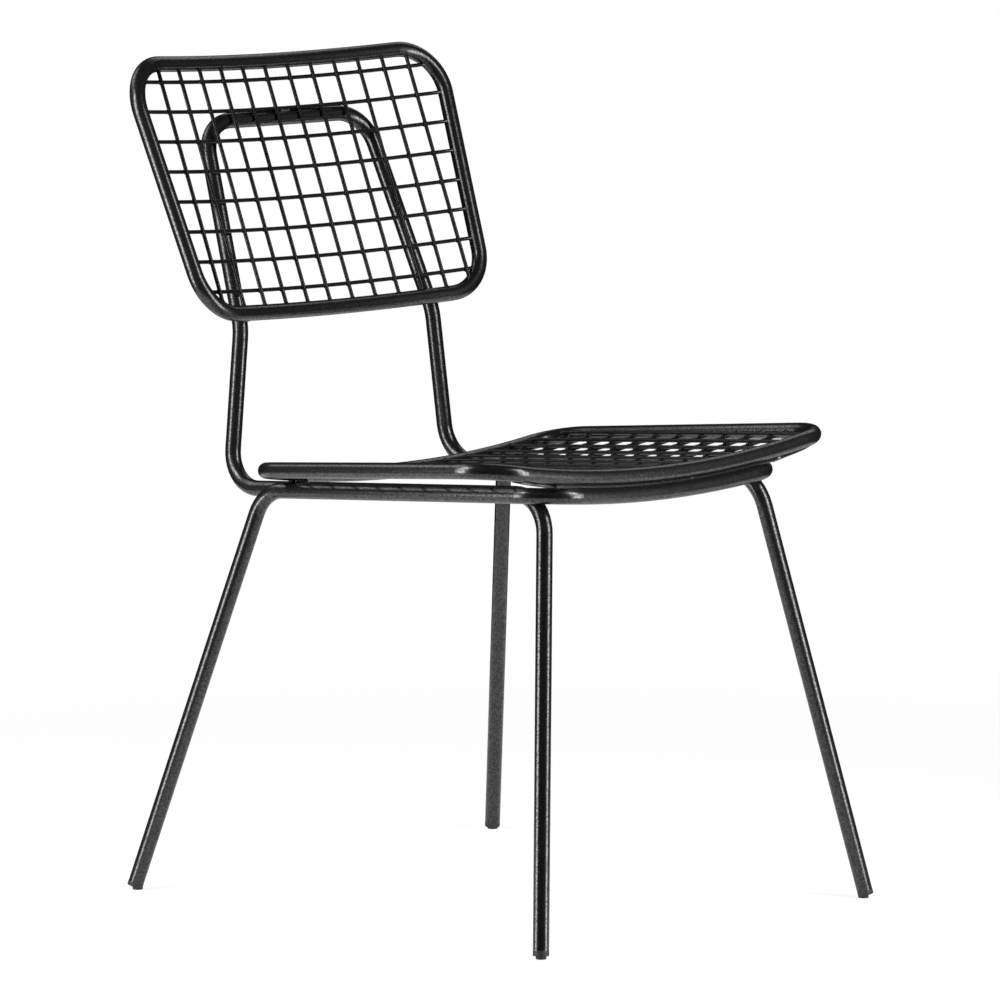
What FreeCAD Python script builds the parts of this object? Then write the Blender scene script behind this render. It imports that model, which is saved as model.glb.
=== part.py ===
import FreeCAD, Part
import math
import os

# Wire mesh side chair, in millimetres.
# Z is up from the floor, the sitter faces -Y and the left hand of the sitter is at +X.
# The origin is on the floor, under the middle of the chair's box.
#
# The carrying frame is two bent tubes that lie side by side under the seat and are welded
# there. The main tube makes the front legs, the inner side rails, the back posts and the
# loop behind the back. The rear tube makes the rear legs, the outer side rails and the
# cross rail under the front of the seat. Seat and back are each a ring of the same tube
# filled with a mesh of welded wires, and both are dished like part of a barrel. The seat
# ring lies on the side rails behind and on a thin spacer rod on the cross rail in front.
# The back ring lies on the front of the loop.

Vector = FreeCAD.Vector
ACROSS = Vector(1, 0, 0)
UP = Vector(0, 0, 1)
SQUARE = math.radians(90)
SHORTEST_RUN = 2.0

DIMENSIONS = (
    ("tube_diameter", 15.875, "outside of every tube, five eighths of an inch"),
    ("tube_wall", 2.0, "wall of the two frame tubes"),
    ("wire_diameter", 4.0, "mesh wires of seat and back"),
    ("mesh_pitch", 31.75, "from wire to wire both ways, an inch and a quarter"),
    ("front_bend_radius", 43.0, "centre line of the bend over each front leg"),
    ("rear_bend_radius", 34.0, "centre line of the bend over each rear leg"),
    ("post_base_radius", 38.0, "centre line of the bend under each back post"),
    ("post_bend_radius", 60.0, "centre line of the slight bend halfway up each back post"),
    ("rail_spread", 150.865, "inner side rail from the middle plane, at the origin"),
    ("rail_splay", 0.0128, "widening of the side rails for each unit towards the back"),
    ("rail_level", 415.3, "height of the side rails' centre lines, at the origin"),
    ("rail_fall", 0.072, "fall of the side rails for each unit towards the back"),
    ("rail_step", 16.18, "from an inner side rail to the outer one beside it"),
    ("front_foot_x", 231.1, "front leg's axis at the floor"),
    ("front_foot_y", -308.64, "front leg's axis at the floor"),
    ("front_bend_y", -231.34, "where a front leg's axis meets its rail"),
    ("rear_foot_x", 254.3, "rear leg's axis at the floor"),
    ("rear_foot_y", 243.36, "rear leg's axis at the floor"),
    ("rear_bend_y", 140.76, "where a rear leg's axis meets its rail"),
    ("front_rail_y", -252.14, "cross rail under the front of the seat"),
    ("front_rail_reach", 40.0, "length that each corner bend takes off the cross rail"),
    ("spacer_gap", 2.4, "between the seat ring's front rail and the cross rail under it"),
    ("spacer_diameter", 5.0, "rod that fills this gap"),
    ("spacer_half_length", 155.0, "rod's end from the middle plane"),
    ("post_base_y", 206.56, "where a back post's axis meets its rail"),
    ("post_bend_x", 134.4, "slight bend of the post"),
    ("post_bend_y", 210.73, "slight bend of the post"),
    ("post_bend_z", 560.1, "slight bend of the post"),
    ("loop_corner_x", 112.0, "upper corner of the loop"),
    ("loop_corner_y", 289.46, "upper corner of the loop"),
    ("loop_corner_z", 761.5, "upper corner of the loop"),
    ("loop_reach", 36.5, "length that each upper bend takes off the loop's top"),
    ("loop_bow", 1.75, "how far the middle of the loop's top stands back of its corners"),
    ("seat_middle_y", -48.54, "datum of the seat's dish"),
    ("seat_middle_z", 426.65, "datum of the seat's dish"),
    ("seat_tilt", 4.43, "degrees by which the seat falls towards the back"),
    ("seat_dish_radius", 1290.0, "centre lines of the ring and of the cross wires"),
    ("seat_front", 204.0, "ring's front rail from the datum"),
    ("seat_rear", 157.6, "ring's rear rail from the datum"),
    ("seat_front_half", 240.0, "half the ring's width at its front corners"),
    ("seat_rear_half", 215.8, "half the ring's width at its rear corners"),
    ("seat_corner_radius", 40.8, "centre line of the ring's corner bends"),
    ("seat_first_wire", 20.3, "first cross wire from the ring's front rail"),
    ("seat_cross_count", 11, "wires from side to side"),
    ("seat_long_count", 14, "wires from front to back"),
    ("back_middle_y", 258.1, "datum of the back's dish"),
    ("back_middle_z", 697.0, "datum of the back's dish"),
    ("back_recline", 22.45, "degrees by which the back leans"),
    ("back_dish_radius", 1160.0, "centre lines of the ring and of the cross wires"),
    ("back_top", 130.6, "ring's top rail from the datum"),
    ("back_bottom", 134.4, "ring's bottom rail from the datum"),
    ("back_top_half", 217.6, "half the ring's width at its top corners"),
    ("back_bottom_half", 195.4, "half the ring's width at its bottom corners"),
    ("back_corner_radius", 48.0, "centre line of the ring's corner bends"),
    ("back_cross_count", 8, "wires from side to side"),
    ("back_long_count", 12, "wires from bottom to top"),
    ("plug_gap", 3.1, "middle of the collar's underside over the floor"),
    ("plug_collar", 4.5, "thickness of the collar, which is as wide as the tube"),
    ("plug_stem", 22.0, "length of the stem in the tube"),
    ("plug_stem_play", 0.1, "room between the stem and the bore all round"),
    ("pad_diameter", 10.4, "flat pad under the collar"),
    ("pad_height", 4.9, "top of the pad inside the collar"),
    ("pad_level", 12.0, "height at which the leg's axis passes over the pad's middle"),
)

doc = FreeCAD.newDocument("wire_mesh_chair")
sheet = doc.addObject("Spreadsheet::Sheet", "Sizes")
for row, (alias, value, meaning) in enumerate(DIMENSIONS, start=1):
    sheet.set(f"A{row}", alias)
    sheet.set(f"B{row}", str(value))
    sheet.setAlias(f"B{row}", alias)
    sheet.set(f"C{row}", meaning)
doc.recompute()

subparts = []


def size(alias):
    return float(sheet.get(alias))


def add(kind, label, **sizes):
    """New object whose sizes follow the sheet's cells."""
    thing = doc.addObject(kind, label)
    thing.Label = label
    for name, formula in sizes.items():
        thing.setExpression(name, formula)
    return thing


def facing(point, axis, side=ACROSS):
    """Placement that turns a new object's Z to an axis and its X towards a side."""
    return FreeCAD.Placement(point, FreeCAD.Rotation(side, axis.cross(side), axis, "ZXY"))


# Centre lines of the tubes


def bend_reach(before, corner, after, radius):
    """How far from its corner a bend of this radius starts."""
    opening = (before - corner).getAngle(after - corner)
    return radius / math.tan(opening / 2)


def rounded_run(points, reaches):
    """Straight runs through the points, with a round bend at each inner one."""
    edges = []
    here = points[0]
    for before, corner, after, reach in zip(points, points[1:], points[2:], reaches):
        back = (before - corner).normalize()
        ahead = (after - corner).normalize()
        half_opening = back.getAngle(ahead) / 2
        start = corner + back * reach
        end = corner + ahead * reach
        inward = reach * (1 / math.cos(half_opening) - math.tan(half_opening))
        middle = corner + (back + ahead).normalize() * inward
        if (start - here).Length > SHORTEST_RUN:
            edges.append(Part.LineSegment(here, start).toShape())
            joined = start
        else:
            joined = here
        edges.append(Part.Arc(joined, middle, end).toShape())
        here = end
    if (points[-1] - here).Length > SHORTEST_RUN:
        edges.append(Part.LineSegment(here, points[-1]).toShape())
    return edges


class DishedRail:
    """Half of a rail that crosses the chair in an arc, out to where its corner bend starts.

    The tangent at the arc's end runs on to the corner.
    """

    def __init__(self, middle, corner, reach):
        rise = Vector(0, corner.y - middle.y, corner.z - middle.z)
        depth = rise.Length
        rise.normalize()
        radius = (corner.x**2 + depth**2 - reach**2) / (2 * depth)
        angle = math.asin(corner.x / math.hypot(radius, reach)) - math.atan(reach / radius)

        def point(turn):
            return middle + ACROSS * (radius * math.sin(turn)) + rise * (radius * (1 - math.cos(turn)))

        self.middle = middle
        self.corner = corner
        self.reach = reach
        self.end = point(angle)
        self.edge = Part.Arc(middle, point(angle / 2), self.end).toShape()


def dish_depth(radius, half_width, reach):
    """How far a corner stands out of the middle of a rail with this radius."""
    return radius - math.sqrt(radius**2 + reach**2 - half_width**2)


# Solids of the tubes


def swept_half(label, edges, start, diameter):
    """Round bar along the left half of a tube's centre line."""
    path = add("Part::Feature", f"{label}_path")
    path.Shape = Part.Wire(edges)
    section = add("Part::Circle", f"{label}_section", Radius=f"({diameter}) / 2")
    section.Placement = facing(start, ACROSS, UP)
    sweep = add("Part::Sweep", f"{label}_half")
    sweep.Sections = [section]
    sweep.Spine = (path, [f"Edge{number + 1}" for number in range(len(edges))])
    sweep.Solid = True
    return sweep


def both_sides(label, half):
    """A left half joined to its mirror image."""
    other = add("Part::Mirroring", f"{label}_other_half")
    other.Source = half
    other.Base = Vector(0, 0, 0)
    other.Normal = ACROSS
    whole = add("Part::Fuse", label)
    whole.Base = half
    whole.Tool = other
    return whole


def solid_tube(label, edges, start):
    return both_sides(label, swept_half(label, edges, start, "Sizes.tube_diameter"))


def hollow_tube(label, edges, start):
    outside = swept_half(f"{label}_outside", edges, start, "Sizes.tube_diameter")
    inside = swept_half(f"{label}_bore", edges, start, "Sizes.tube_diameter - 2 * Sizes.tube_wall")
    half = add("Part::Cut", f"{label}_wall")
    half.Base = outside
    half.Tool = inside
    return both_sides(label, half)


def arched_rod(label, middle, rise, angle, bend, diameter):
    """Round rod in an arc of a bend radius across the chair, by an angle to each side."""
    rod = add("Part::Torus", label, Radius1=f"Sizes.{bend}", Radius2=f"Sizes.{diameter} / 2")
    rod.Angle3 = math.degrees(2 * angle)
    first = -rise * math.cos(angle) - ACROSS * math.sin(angle)
    rod.Placement = facing(middle + rise * size(bend), ACROSS.cross(rise), first)
    return rod


def cut_by(label, blank, tool):
    node = add("Part::Cut", label)
    node.Base = blank
    node.Tool = tool
    return node


# Frame


def rail_point(y, outboard=0.0):
    """Point of the left side rail's centre line, or of the one welded beside it."""
    x = size("rail_spread") + size("rail_splay") * y + outboard
    return Vector(x, y, size("rail_level") - size("rail_fall") * y)


def leg_point(foot, top, height):
    """Point of a leg's axis at a height over the floor."""
    return foot + (top - foot) * (height / top.z)


def tube_end(foot, top):
    """Where the tube stops on the plug's collar."""
    underside = leg_point(foot, top, size("plug_gap"))
    return underside + (top - foot).normalize() * size("plug_collar")


def main_tube(foot, bend):
    base = rail_point(size("post_base_y"))
    halfway = Vector(size("post_bend_x"), size("post_bend_y"), size("post_bend_z"))
    corner = Vector(size("loop_corner_x"), size("loop_corner_y"), size("loop_corner_z"))
    recline = math.radians(size("back_recline"))
    behind = Vector(0, math.cos(recline), -math.sin(recline))
    middle = Vector(0, corner.y, corner.z) + behind * size("loop_bow")
    top = DishedRail(middle, corner, size("loop_reach"))
    end = tube_end(foot, bend)
    points = [top.end, corner, halfway, base, bend, end]
    reaches = [
        top.reach,
        bend_reach(corner, halfway, base, size("post_bend_radius")),
        bend_reach(halfway, base, bend, size("post_base_radius")),
        bend_reach(base, bend, end, size("front_bend_radius")),
    ]
    subparts.append(hollow_tube("main_frame_tube", [top.edge] + rounded_run(points, reaches), middle))


def rear_tube(foot, bend, seat_front):
    corner = rail_point(size("front_rail_y"), size("rail_step"))
    step = seat_front.y - corner.y
    under = math.sqrt((size("tube_diameter") + size("spacer_gap")) ** 2 - step**2)
    middle = Vector(0, corner.y, seat_front.z - under)
    front = DishedRail(middle, corner, size("front_rail_reach"))
    end = tube_end(foot, bend)
    points = [front.end, corner, bend, end]
    reaches = [front.reach, bend_reach(corner, bend, end, size("rear_bend_radius"))]
    tube = hollow_tube("rear_frame_tube", [front.edge] + rounded_run(points, reaches), middle)
    subparts.append(tube)
    return tube


def front_spacer(seat_front, ring, rail):
    """Rod in the groove between the ring's front rail and the cross rail, shaped to both."""
    middle = seat_front - UP * ((size("tube_diameter") + size("spacer_gap")) / 2)
    angle = math.asin(size("spacer_half_length") / size("seat_dish_radius"))
    rod = arched_rod("seat_front_spacer_blank", middle, UP, angle, "seat_dish_radius", "spacer_diameter")
    fitted = cut_by("seat_front_spacer_under_ring", rod, ring)
    subparts.append(cut_by("seat_front_spacer", fitted, rail))


# Seat and back


class Panel:
    """Ring and wire mesh on a surface that is dished across the chair."""

    def __init__(self, name, middle, along, rise):
        self.name = name
        self.middle = middle
        self.along = along
        self.rise = rise
        self.radius = size(f"{name}_dish_radius")
        self.corner_radius = size(f"{name}_corner_radius")

    def rail(self, place, half_width, reach):
        """Rail of the ring at a place along the panel."""
        middle = self.middle + self.along * place
        depth = dish_depth(self.radius, half_width, reach)
        return DishedRail(middle, middle + ACROSS * half_width + self.rise * depth, reach)

    def ring(self, start, start_half, end, end_half):
        self.start = start
        self.start_half = start_half
        self.end = end
        self.end_half = end_half
        taper = math.atan((start_half - end_half) / (end - start))
        self.start_reach = self.corner_radius / math.tan((SQUARE - taper) / 2)
        self.end_reach = self.corner_radius / math.tan((SQUARE + taper) / 2)
        first = self.rail(start, start_half, self.start_reach)
        last = self.rail(end, end_half, self.end_reach)
        points = [first.end, first.corner, last.corner, last.end]
        side = rounded_run(points, [first.reach, last.reach])
        edges = [first.edge] + side + [last.edge]
        self.tube = solid_tube(f"{self.name}_ring", Part.__sortEdges__(edges), first.middle)
        subparts.append(self.tube)

    def shortfall(self, beyond_bend):
        """How far the ring runs inside its rail's line, this far into the corner's bend."""
        into = max(0.0, beyond_bend)
        return self.corner_radius - math.sqrt(self.corner_radius**2 - into**2)

    def trimmed(self, label, wire):
        """Wire whose ends are fitted to the ring."""
        subparts.append(cut_by(label, wire, self.tube))

    def cross_wire(self, label, place):
        """Arc from side to side, in the ring's own surface."""
        share = (place - self.start) / (self.end - self.start)
        half = self.start_half + (self.end_half - self.start_half) * share
        half -= self.shortfall(self.start + self.start_reach - place)
        half -= self.shortfall(place - self.end + self.end_reach)
        angle = math.asin(half / self.radius)
        wire = arched_rod(f"{label}_blank", self.middle + self.along * place, self.rise, angle,
                          f"{self.name}_dish_radius", "wire_diameter")
        self.trimmed(label, wire)

    def long_wire(self, label, step):
        """Straight wire on the cross wires, one wire's thickness nearer to the sitter."""
        proud = size("wire_diameter")
        angle = step / self.radius
        across = ACROSS * ((self.radius - proud) * math.sin(angle))
        lift = self.rise * (self.radius - (self.radius - proud) * math.cos(angle))
        start = self.start + self.shortfall(abs(across.x) - self.start_half + self.start_reach)
        end = self.end - self.shortfall(abs(across.x) - self.end_half + self.end_reach)
        wire = add("Part::Cylinder", f"{label}_blank", Radius="Sizes.wire_diameter / 2")
        wire.Height = end - start
        wire.Placement = facing(self.middle + across + lift + self.along * start, self.along)
        self.trimmed(label, wire)


def make_seat():
    tilt = math.radians(size("seat_tilt"))
    middle = Vector(0, size("seat_middle_y"), size("seat_middle_z"))
    backwards = Vector(0, math.cos(tilt), -math.sin(tilt))
    seat = Panel("seat", middle, backwards, Vector(0, math.sin(tilt), math.cos(tilt)))
    front = -size("seat_front")
    seat.ring(front, size("seat_front_half"), size("seat_rear"), size("seat_rear_half"))
    pitch = size("mesh_pitch")
    for number in range(int(size("seat_cross_count"))):
        seat.cross_wire(f"seat_cross_wire_{number + 1:02d}", front + size("seat_first_wire") + pitch * number)
    count = int(size("seat_long_count"))
    for number in range(count):
        seat.long_wire(f"seat_long_wire_{number + 1:02d}", pitch * (number - (count - 1) / 2))
    return middle + backwards * front, seat.tube


def make_back():
    recline = math.radians(size("back_recline"))
    middle = Vector(0, size("back_middle_y"), size("back_middle_z"))
    upwards = Vector(0, math.sin(recline), math.cos(recline))
    back = Panel("back", middle, upwards, Vector(0, -math.cos(recline), math.sin(recline)))
    back.ring(-size("back_bottom"), size("back_bottom_half"), size("back_top"), size("back_top_half"))
    pitch = size("mesh_pitch")
    count = int(size("back_cross_count"))
    for number in range(count):
        back.cross_wire(f"back_cross_wire_{number + 1:02d}", pitch * (number - (count - 1) / 2))
    count = int(size("back_long_count"))
    for number in range(count):
        back.long_wire(f"back_long_wire_{number + 1:02d}", pitch * (number - (count - 1) / 2))


# Plugs in the feet of the legs


def leg_plug(label, foot, top):
    axis = (top - foot).normalize()
    side = ACROSS.cross(axis).normalize()
    underside = leg_point(foot, top, size("plug_gap"))
    collar = add("Part::Cylinder", f"{label}_collar", Radius="Sizes.tube_diameter / 2",
                 Height="Sizes.plug_collar")
    collar.Placement = facing(underside, axis, side)
    stem = add("Part::Cylinder", f"{label}_stem",
               Radius="Sizes.tube_diameter / 2 - Sizes.tube_wall - Sizes.plug_stem_play",
               Height="Sizes.plug_collar + Sizes.plug_stem")
    stem.Placement = facing(underside, axis, side)
    pad = add("Part::Cylinder", f"{label}_pad", Radius="Sizes.pad_diameter / 2", Height="Sizes.pad_height")
    over = leg_point(foot, top, size("pad_level"))
    pad.Placement = facing(Vector(over.x, over.y, 0), UP)
    plug = add("Part::MultiFuse", label)
    plug.Shapes = [collar, stem, pad]
    subparts.append(plug)


def make_plugs(place, foot, top):
    leg_plug(f"leg_plug_{place}_left", foot, top)
    leg_plug(f"leg_plug_{place}_right", Vector(-foot.x, foot.y, foot.z), Vector(-top.x, top.y, top.z))


front_foot = Vector(size("front_foot_x"), size("front_foot_y"), 0)
front_bend = rail_point(size("front_bend_y"))
rear_foot = Vector(size("rear_foot_x"), size("rear_foot_y"), 0)
rear_bend = rail_point(size("rear_bend_y"), size("rail_step"))

seat_front_middle, seat_ring = make_seat()
make_back()
main_tube(front_foot, front_bend)
rear_tube_solid = rear_tube(rear_foot, rear_bend, seat_front_middle)
front_spacer(seat_front_middle, seat_ring, rear_tube_solid)
make_plugs("front", front_foot, front_bend)
make_plugs("rear", rear_foot, rear_bend)

doc.recompute()

for thing in doc.Objects:
    if "Invalid" in thing.State or "Error" in thing.State:
        raise RuntimeError(f"{thing.Label} failed: {thing.State}")
for node in subparts:
    if node.Shape.isNull() or not node.Shape.isValid():
        raise RuntimeError(f"{node.Label} has no valid shape")
    if len(node.Shape.Solids) != 1:
        raise RuntimeError(f"{node.Label} has {len(node.Shape.Solids)} solids")

os.makedirs("parts", exist_ok=True)
for node in subparts:
    node.Shape.exportStep(f"parts/{node.Label}.step")
print(f"{len(subparts)} nodes written")
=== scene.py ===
import bmesh
import bpy
import math
import numpy
from mathutils import Matrix, Vector


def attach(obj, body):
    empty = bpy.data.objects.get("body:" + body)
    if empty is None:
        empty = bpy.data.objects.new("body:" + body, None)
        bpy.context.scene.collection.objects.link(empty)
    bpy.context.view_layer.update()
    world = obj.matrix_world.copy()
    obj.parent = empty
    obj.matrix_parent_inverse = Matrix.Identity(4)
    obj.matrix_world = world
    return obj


# Looks of the wire mesh side chair, in metres and degrees.
# Z is up from the floor, the sitter faces -Y and the left hand of the sitter is at +X.

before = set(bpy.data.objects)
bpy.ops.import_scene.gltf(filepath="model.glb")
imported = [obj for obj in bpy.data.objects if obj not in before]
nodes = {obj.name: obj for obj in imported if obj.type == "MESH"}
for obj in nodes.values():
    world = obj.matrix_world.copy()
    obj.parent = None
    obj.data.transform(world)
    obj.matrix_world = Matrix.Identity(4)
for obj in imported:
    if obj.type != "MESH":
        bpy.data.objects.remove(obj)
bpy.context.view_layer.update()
scene = bpy.context.scene
scene.view_settings.view_transform = "Standard"

X, Y, Z = 0, 1, 2
ACROSS = Vector((1, 0, 0))
SIDES = (-1, 1)
MM = 0.001

TUBE_RADIUS = 15.875 * MM / 2
WIRE_RADIUS = 2.0 * MM


# Shader nodes


class Socket:
    """Output of a shader node, with arithmetic."""

    def __init__(self, finish, link):
        self.finish = finish
        self.link = link

    def maths(self, operation, *others):
        terms = dict(enumerate([self, *others]))
        return self.finish.node("ShaderNodeMath", 0, {"operation": operation}, terms)

    def __add__(self, other):
        return self.maths("ADD", other)

    __radd__ = __add__

    def __mul__(self, other):
        return self.maths("MULTIPLY", other)

    __rmul__ = __mul__

    def __sub__(self, other):
        return self.maths("SUBTRACT", other)

    def __rsub__(self, other):
        return self * -1.0 + other

    def between(self, low, high):
        """0 below low, 1 above high, smooth between."""
        smooth = {"interpolation_type": "SMOOTHSTEP"}
        return self.finish.node("ShaderNodeMapRange", "Result", smooth, Value=self, From_Min=low,
                                From_Max=high)


class Finish:
    """A material built from nodes."""

    def __init__(self, name):
        self.material = bpy.data.materials.new(name)
        self.material.use_nodes = True
        self.tree = self.material.node_tree
        self.tree.nodes.clear()
        self.output = self.tree.nodes.new("ShaderNodeOutputMaterial")

    def plug_in(self, inlet, value):
        if isinstance(value, Socket):
            self.tree.links.new(value.link, inlet)
        else:
            inlet.default_value = value

    def node(self, kind, outlet=0, settings=None, numbered=None, **named):
        """Node with its settings and its sockets' values or links, by number or by name."""
        node = self.tree.nodes.new(kind)
        for name, value in (settings or {}).items():
            setattr(node, name, value)
        for number, value in (numbered or {}).items():
            self.plug_in(node.inputs[number], value)
        for name, value in named.items():
            self.plug_in(node.inputs[name.replace("_", " ")], value)
        return Socket(self, node.outputs[outlet])

    def place(self):
        return self.node("ShaderNodeTexCoord", "Object")

    def noise(self, scale, detail, roughness):
        return self.node("ShaderNodeTexNoise", "Fac", Vector=self.place(), Scale=scale,
                         Detail=detail, Roughness=roughness)

    def mixed(self, share, first, second):
        """Mix of two colours, which a Mix node takes in its sockets 6 and 7."""
        return self.node("ShaderNodeMix", 2, {"data_type": "RGBA"}, {0: share, 6: first, 7: second})

    def bumped(self, height, distance, **under):
        return self.node("ShaderNodeBump", "Normal", Height=height, Distance=distance, Strength=1.0,
                         **under)

    def surface(self, shader):
        self.plug_in(self.output.inputs["Surface"], shader)
        return self.material


# Finishes

COAT_GREYS = (0.006, 0.011)
COAT_ROUGHNESS = 0.24
COAT_CLOUDING = 0.06
COAT_IOR = 1.7
COAT_GRAIN_HEIGHT = 0.025 * MM
COAT_RIPPLE_HEIGHT = 0.02 * MM
EVEN_GLOSS = 0.3
SPECKLED_GLOSS = 0.7
GLOSS_LOST_AT_EDGE = 0.85
TUBE_SHEEN = 1.0
WIRE_SHEEN = 0.35

PLASTIC_GREYS = (0.016, 0.034)
PLASTIC_ROUGHNESS = 0.52
PLASTIC_SCUFFING = 0.12
PLASTIC_GRAIN_HEIGHT = 0.04 * MM

FLOOR_GREY = 0.8
SHADOW_GREY = 0.25
FLOOR_LIFT = 0.85
FADE_START = 0.7
FADE_END = 1.6
CLOTH_GREY = 0.01


def grey(shade):
    return (shade, shade, shade, 1)


def powder_coat(name, sheen):
    """Black powder coat with a fine grain, and a share of the tubes' sheen."""
    finish = Finish(name)
    grain = finish.noise(scale=900.0, detail=2.0, roughness=0.55)
    speckle = finish.noise(scale=480.0, detail=2.0, roughness=0.7)
    ripple = finish.noise(scale=160.0, detail=1.0, roughness=0.5)
    cloud = finish.noise(scale=25.0, detail=2.0, roughness=0.5)
    darkest, palest = COAT_GREYS
    colour = finish.mixed(grain.between(0.35, 0.7), grey(darkest), grey(palest))
    normal = finish.bumped(ripple, COAT_RIPPLE_HEIGHT)
    normal = finish.bumped(grain, COAT_GRAIN_HEIGHT, Normal=normal)
    turned_away = finish.node("ShaderNodeLayerWeight", "Facing", Blend=0.5).between(0.45, 1.0)
    gloss = EVEN_GLOSS * sheen + speckle.between(0.35, 0.65) * (SPECKLED_GLOSS * sheen)
    gloss = gloss * (1.0 - turned_away * GLOSS_LOST_AT_EDGE)
    roughness = COAT_ROUGHNESS + cloud * COAT_CLOUDING
    shader = finish.node("ShaderNodeBsdfPrincipled", "BSDF", Base_Color=colour, Roughness=roughness,
                         Specular_IOR_Level=0.1, Coat_Weight=gloss, Coat_Roughness=COAT_ROUGHNESS,
                         Coat_IOR=COAT_IOR, Normal=normal, Coat_Normal=normal)
    return finish.surface(shader)


def plug_plastic():
    """Black moulded plastic, duller than the coat."""
    finish = Finish("plug_plastic_black")
    grain = finish.noise(scale=1500.0, detail=2.0, roughness=0.6)
    scuff = finish.noise(scale=220.0, detail=3.0, roughness=0.6)
    darkest, palest = PLASTIC_GREYS
    colour = finish.mixed(scuff.between(0.55, 0.75), grey(darkest), grey(palest))
    normal = finish.bumped(grain, PLASTIC_GRAIN_HEIGHT)
    roughness = PLASTIC_ROUGHNESS + scuff * PLASTIC_SCUFFING
    shader = finish.node("ShaderNodeBsdfPrincipled", "BSDF", Base_Color=colour, Roughness=roughness,
                         Normal=normal)
    return finish.surface(shader)


def pale_floor():
    """Pale floor that takes the chair's shadow and fades to plain white away from it."""
    finish = Finish("pale_floor")
    seen = finish.node("ShaderNodeLightPath", "Is Camera Ray")
    mirrored = finish.node("ShaderNodeLightPath", "Is Glossy Ray")
    passed = finish.node("ShaderNodeLightPath", "Is Transmission Ray")
    shown = seen.maths("MAXIMUM", mirrored).maths("MAXIMUM", passed)
    distance = finish.node("ShaderNodeVectorMath", "Value", {"operation": "LENGTH"},
                           Vector=finish.place())
    plain = finish.node("ShaderNodeBsdfDiffuse", "BSDF", Color=grey(FLOOR_GREY))
    shaded = finish.node("ShaderNodeBsdfDiffuse", "BSDF", Color=grey(SHADOW_GREY))
    lift = finish.node("ShaderNodeEmission", "Emission", Strength=FLOOR_LIFT)
    white = finish.node("ShaderNodeEmission", "Emission", Strength=1.0)
    near = finish.node("ShaderNodeAddShader", numbered={0: shaded, 1: lift})
    fade = distance.between(FADE_START, FADE_END)
    faded = finish.node("ShaderNodeMixShader", numbered={0: fade, 1: near, 2: white})
    chosen = finish.node("ShaderNodeMixShader", numbered={0: shown, 1: plain, 2: faded})
    return finish.surface(chosen)


def black_cloth():
    finish = Finish("black_cloth")
    return finish.surface(finish.node("ShaderNodeBsdfDiffuse", "BSDF", Color=grey(CLOTH_GREY)))


def dress_nodes(coat, wire_coat, plastic):
    """Gives each CAD node its finish."""
    for name, node in nodes.items():
        finish = coat
        if "wire" in name:
            finish = wire_coat
        if name.startswith("leg_plug"):
            finish = plastic
        for slot in node.material_slots:
            slot.material = finish


# Shapes made into objects

MERGE_DISTANCE = 0.01 * MM


def made(name, shape, material):
    """Object of a shape, in one material."""
    mesh = bpy.data.meshes.new(name)
    shape.to_mesh(mesh)
    shape.free()
    mesh.materials.append(material)
    thing = bpy.data.objects.new(name, mesh)
    scene.collection.objects.link(thing)
    return thing


def weld_on(name, shape, coat):
    """Makes a smooth piece of a shape, which rides with the frame."""
    bmesh.ops.remove_doubles(shape, verts=shape.verts, dist=MERGE_DISTANCE)
    bmesh.ops.recalc_face_normals(shape, faces=shape.faces)
    for face in shape.faces:
        face.smooth = True
    piece = made(name, shape, coat)
    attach(piece, "root")


def turned_to(direction):
    return direction.to_track_quat("Z", "Y").to_matrix().to_4x4()


# Welds of the mesh
# CURVED and STRAIGHT are the degrees of the polynomials that follow the wires.

CURVED = 4
STRAIGHT = 1
END_MARGIN = 0.004
NUGGET_SIZE = Vector((3.1, 3.1, 1.7)) * MM
FILLET_RADIUS = 2.8 * MM
FILLET_LENGTH = 4.0 * MM
FILLET_DEPTH = 1.5 * MM


class Wire:
    """Centre line of a mesh wire, fitted through its node's points along an axis."""

    def __init__(self, name, axis, degree):
        mesh = nodes[name].data
        flat = numpy.empty(len(mesh.vertices) * 3)
        mesh.vertices.foreach_get("co", flat)
        points = flat.reshape(-1, 3)
        self.axis = axis
        self.first = points[:, axis].min()
        self.last = points[:, axis].max()
        self.curves = [numpy.poly1d(numpy.polyfit(points[:, axis], points[:, other], degree))
                       for other in (X, Y, Z) if other != axis]

    def at(self, place):
        centre = [float(curve(place)) for curve in self.curves]
        centre.insert(self.axis, place)
        return Vector(centre)

    def direction(self, place):
        slope = [float(curve.deriv()(place)) for curve in self.curves]
        slope.insert(self.axis, 1.0)
        return Vector(slope).normalized()

    def reaches(self, place):
        return self.first + END_MARGIN < place < self.last - END_MARGIN


def wires(start, axis, degree):
    return [Wire(name, axis, degree) for name in sorted(nodes) if name.startswith(start)]


def add_nugget(shape, centre, across, along):
    """Small flattened lump of weld between two crossing wires."""
    out = across.cross(along).normalized()
    turn = Matrix((across, out.cross(across), out)).transposed().to_4x4()
    place = Matrix.Translation(centre) @ turn @ Matrix.Diagonal((*NUGGET_SIZE, 1))
    bmesh.ops.create_uvsphere(shape, u_segments=8, v_segments=4, radius=1.0, matrix=place)


def weld_crossings(name, cross_wires, long_wires, coat):
    """Nuggets where long wires lie on cross wires."""
    shape = bmesh.new()
    for above in long_wires:
        x = above.at((above.first + above.last) / 2).x
        for below in cross_wires:
            crossing = below.at(x)
            place = crossing[above.axis]
            if below.reaches(x) and above.reaches(place):
                centre = (crossing + above.at(place)) / 2
                add_nugget(shape, centre, below.direction(x), above.direction(place))
    weld_on(name, shape, coat)


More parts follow.
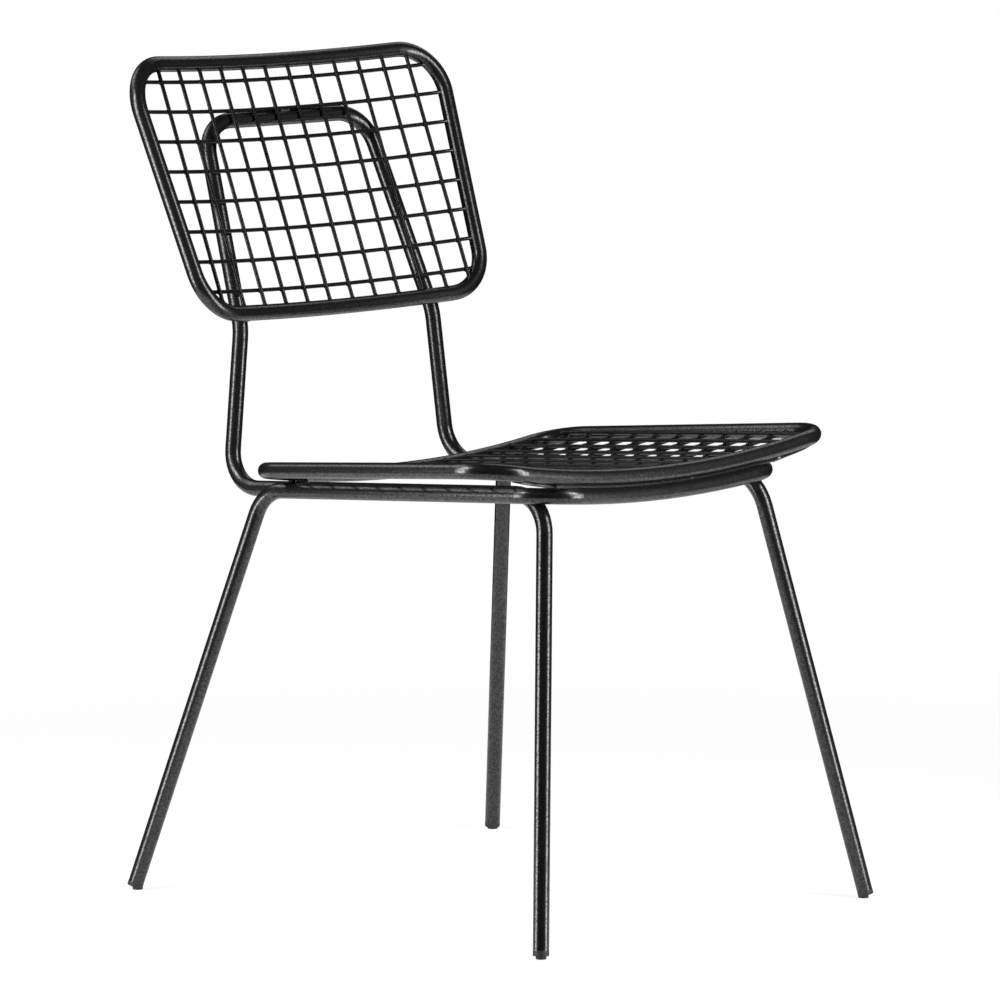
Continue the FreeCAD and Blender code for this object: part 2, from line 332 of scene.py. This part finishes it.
def weld_ends(name, group, coat):
    """Fillets where wires of a group end on their ring."""
    shape = bmesh.new()
    for wire in group:
        for end, inward in ((wire.first, 1.0), (wire.last, -1.0)):
            direction = wire.direction(end) * inward
            middle = wire.at(end) + direction * (FILLET_LENGTH / 2 - FILLET_DEPTH)
            place = Matrix.Translation(middle) @ turned_to(direction)
            bmesh.ops.create_cone(shape, cap_ends=False, segments=12, radius1=FILLET_RADIUS,
                                  radius2=WIRE_RADIUS, depth=FILLET_LENGTH, matrix=place)
    weld_on(name, shape, coat)


# Welds of the frame
# The groove between the rails of a side has its place at y = 0 and its slopes along y.
# Saddles are the places where a ring rests on the frame.

BEAD_RADIUS = 3.2 * MM
TACK_RADIUS = 2.2 * MM
BEAD_STEP = 0.55
BEAD_FLATTENING = 0.75
RAIL_STITCHES = [(-0.160, -0.132), (-0.030, -0.002), (0.062, 0.090)]
RAIL_GROOVE_X = 0.15895
RAIL_GROOVE_Z = 0.4099
RAIL_SPLAY = 0.0128
RAIL_FALL = 0.0716
SADDLE_HALF = 0.0045
SEAT_SADDLE = Vector((0.1515, 0.1093, 0.4153))
SEAT_BEAD_START = Vector((-0.005, 0, 0))
SEAT_BEAD_END = Vector((0.006, 0, 0.001))
BACK_SADDLE = Vector((0.1322, 0.2072, 0.5727))
BACK_BEAD_HALF = ACROSS * 0.004
POST_RISE = Vector((0, 0.37, 0.93))
LOOP_TACK = Vector((0, 0.289, 0.768))
LOOP_TACK_HALF = ACROSS * 0.005


def on_side(side, place):
    """A place on the left side of the chair, or its mirror on the right."""
    return Vector((side * place.x, place.y, place.z))


def rail_groove(y):
    return Vector((RAIL_GROOVE_X + RAIL_SPLAY * y, y, RAIL_GROOVE_Z - RAIL_FALL * y))


def add_bead(shape, start, end, radius):
    """Row of overlapping drops of weld metal from a start to an end."""
    run = end - start
    count = max(2, round(run.length / (radius * BEAD_STEP)))
    drop = Matrix.Diagonal((radius, radius, radius * BEAD_FLATTENING, 1))
    for index in range(count + 1):
        place = Matrix.Translation(start.lerp(end, index / count)) @ turned_to(run.normalized())
        bmesh.ops.create_uvsphere(shape, u_segments=12, v_segments=8, radius=1.0,
                                  matrix=place @ drop)


def weld_side_rails(coat):
    """Stitches along the groove between the rails of each side."""
    shape = bmesh.new()
    for side in SIDES:
        for first, last in RAIL_STITCHES:
            start = on_side(side, rail_groove(first))
            end = on_side(side, rail_groove(last))
            add_bead(shape, start, end, BEAD_RADIUS)
    weld_on("side_rail_welds", shape, coat)


def weld_seat_ring(coat):
    """Beads in front of and behind each place where the seat ring rests on the frame."""
    shape = bmesh.new()
    for side in SIDES:
        for edge in (-1, 1):
            middle = SEAT_SADDLE + Vector((0, edge * SADDLE_HALF, 0))
            start = on_side(side, middle + SEAT_BEAD_START)
            end = on_side(side, middle + SEAT_BEAD_END)
            add_bead(shape, start, end, BEAD_RADIUS)
    weld_on("seat_ring_welds", shape, coat)


def weld_back_ring(coat):
    """Tacks under and over each place where the back ring rests on a post, and one on the loop."""
    shape = bmesh.new()
    for side in SIDES:
        for edge in (-1, 1):
            middle = on_side(side, BACK_SADDLE) + POST_RISE * (edge * SADDLE_HALF)
            add_bead(shape, middle - BACK_BEAD_HALF, middle + BACK_BEAD_HALF, TACK_RADIUS)
    add_bead(shape, LOOP_TACK - LOOP_TACK_HALF, LOOP_TACK + LOOP_TACK_HALF, TACK_RADIUS)
    weld_on("back_ring_welds", shape, coat)


# Ends of the front spacer
# Each row is a place on the seat ring's centre line and the taper's radius under it, in mm.

SPACER_TAPER = [
    (152.0, -251.4, 451.4, 2.5),
    (165.0, -251.1, 453.0, 2.1),
    (175.0, -251.0, 454.3, 1.8),
    (185.0, -250.9, 455.7, 1.6),
    (197.0, -250.8, 457.5, 1.2),
    (210.0, -248.9, 459.3, 0.5),
]
TAPER_NESTING = 0.7


def taper_spacer_ends(coat):
    """Tapered ends of the front spacer, which follow the underside of the seat ring."""
    shape = bmesh.new()
    last = len(SPACER_TAPER) - 1
    for side in SIDES:
        loops = []
        for index, (x, y, z, radius) in enumerate(SPACER_TAPER):
            before = Vector(SPACER_TAPER[max(index - 1, 0)][:3])
            after = Vector(SPACER_TAPER[min(index + 1, last)][:3])
            run = on_side(side, after - before).normalized()
            drop = TUBE_RADIUS / MM + radius * TAPER_NESTING
            place = Matrix.Translation(Vector((side * x, y, z - drop)) * MM) @ turned_to(run)
            ring = bmesh.ops.create_circle(shape, cap_ends=index in (0, last), segments=14,
                                           radius=radius * MM, matrix=place)
            loops.append([edge for edge in shape.edges
                          if all(vert in ring["verts"] for vert in edge.verts)])
        for first, second in zip(loops, loops[1:]):
            bmesh.ops.bridge_loops(shape, edges=first + second)
    weld_on("seat_spacer_ends", shape, coat)


# Stage, lights and camera

FLOOR_SIZE = 120.0
FLOOR_DEPTH = 0.0005
ROOM_LIGHT = 0.04
CHAIR_MIDDLE = Vector((0, 0, 0.42))

CAMERA_TARGET = Vector((0, -22.41, 394.8)) * MM
CAMERA_DISTANCE = 7089.85 * MM
CAMERA_AZIMUTH = -45
CAMERA_ELEVATION = 7.2057
CAMERA_LENS = 256.14
CAMERA_REACH = 200.0

STRIP_LEFT = CAMERA_AZIMUTH - 66
STRIP_RIGHT = CAMERA_AZIMUTH + 63
TOP_LEFT = CAMERA_AZIMUTH - 112
TOP_BACK = CAMERA_AZIMUTH + 160
CURTAIN_RADIUS = 1.2
CURTAIN_HEIGHT = 0.8
CURTAIN_GAP = 16


def towards(azimuth, elevation):
    """Direction from the chair, with azimuth 0 in front of it at -Y and 90 at +X."""
    a = math.radians(azimuth)
    e = math.radians(elevation)
    return Vector((math.sin(a) * math.cos(e), -math.cos(a) * math.cos(e), math.sin(e)))


def lay_floor():
    sheet = bmesh.new()
    bmesh.ops.create_grid(sheet, x_segments=1, y_segments=1, size=FLOOR_SIZE / 2)
    bmesh.ops.translate(sheet, verts=sheet.verts, vec=(0, 0, -FLOOR_DEPTH))
    floor = made("studio_floor", sheet, pale_floor())


def hang_curtain():
    """Black cloth round the set, with a gap in front of each strip light.

    Only the gloss of the coat shows it.
    """
    wall = bmesh.new()
    bmesh.ops.create_cone(wall, cap_ends=False, segments=120, radius1=CURTAIN_RADIUS,
                          radius2=CURTAIN_RADIUS, depth=CURTAIN_HEIGHT)
    bmesh.ops.translate(wall, verts=wall.verts, vec=(0, 0, CURTAIN_HEIGHT / 2))
    nearness = math.cos(math.radians(CURTAIN_GAP))
    for azimuth in (STRIP_LEFT, STRIP_RIGHT):
        light = towards(azimuth, 0).xy
        parted = [face for face in wall.faces
                  if face.calc_center_median().xy.normalized().dot(light) > nearness]
        bmesh.ops.delete(wall, geom=parted, context="FACES")
    curtain = made("studio_curtain", wall, black_cloth())
    curtain.visible_camera = False
    curtain.visible_diffuse = False
    curtain.visible_shadow = False


def set_room():
    world = bpy.data.worlds.new("studio")
    scene.world = world
    world.use_nodes = True
    world.node_tree.nodes["Background"].inputs["Color"].default_value = (1, 1, 1, 1)
    world.node_tree.nodes["Background"].inputs["Strength"].default_value = ROOM_LIGHT


def hang_light(name, azimuth, elevation, distance, width, height, power):
    """Flat lamp that faces the chair."""
    light = bpy.data.lights.new(name, "AREA")
    light.shape = "RECTANGLE"
    light.size = width
    light.size_y = height
    light.energy = power
    thing = bpy.data.objects.new(name, light)
    direction = towards(azimuth, elevation)
    thing.location = CHAIR_MIDDLE + direction * distance
    thing.rotation_mode = "QUATERNION"
    thing.rotation_quaternion = direction.to_track_quat("Z", "Y")
    scene.collection.objects.link(thing)


def set_lights():
    """Tall strips to the left and right of the camera, and two soft lights above."""
    strip = {"elevation": 16, "distance": 1.35, "width": 0.42, "height": 1.6, "power": 22.0}
    hang_light("strip_left", STRIP_LEFT, **strip)
    hang_light("strip_right", STRIP_RIGHT, **strip)
    hang_light("softbox_top_left", TOP_LEFT, elevation=44, distance=3.0, width=1.8, height=1.4,
               power=16.0)
    hang_light("softbox_top_back", TOP_BACK, elevation=42, distance=3.0, width=1.8, height=1.2,
               power=7.0)


def set_camera():
    data = bpy.data.cameras.new("camera")
    data.lens = CAMERA_LENS
    data.clip_end = CAMERA_REACH
    camera = bpy.data.objects.new("camera", data)
    back = towards(CAMERA_AZIMUTH, CAMERA_ELEVATION)
    camera.location = CAMERA_TARGET + back * CAMERA_DISTANCE
    camera.rotation_mode = "QUATERNION"
    camera.rotation_quaternion = (-back).to_track_quat("-Z", "Y")
    scene.collection.objects.link(camera)
    scene.camera = camera


# The dressed chair on its stage

coat = powder_coat("powder_coat_black", TUBE_SHEEN)
wire_coat = powder_coat("powder_coat_black_wire", WIRE_SHEEN)
dress_nodes(coat, wire_coat, plug_plastic())

seat_cross = wires("seat_cross_wire", X, CURVED)
seat_long = wires("seat_long_wire", Y, STRAIGHT)
back_cross = wires("back_cross_wire", X, CURVED)
back_long = wires("back_long_wire", Z, STRAIGHT)
weld_crossings("seat_mesh_welds", seat_cross, seat_long, wire_coat)
weld_crossings("back_mesh_welds", back_cross, back_long, wire_coat)
weld_ends("seat_cross_wire_ends", seat_cross, wire_coat)
weld_ends("seat_long_wire_ends", seat_long, wire_coat)
weld_ends("back_cross_wire_ends", back_cross, wire_coat)
weld_ends("back_long_wire_ends", back_long, wire_coat)
weld_side_rails(coat)
weld_seat_ring(coat)
weld_back_ring(coat)
taper_spacer_ends(coat)

lay_floor()
hang_curtain()
set_room()
set_lights()
set_camera()
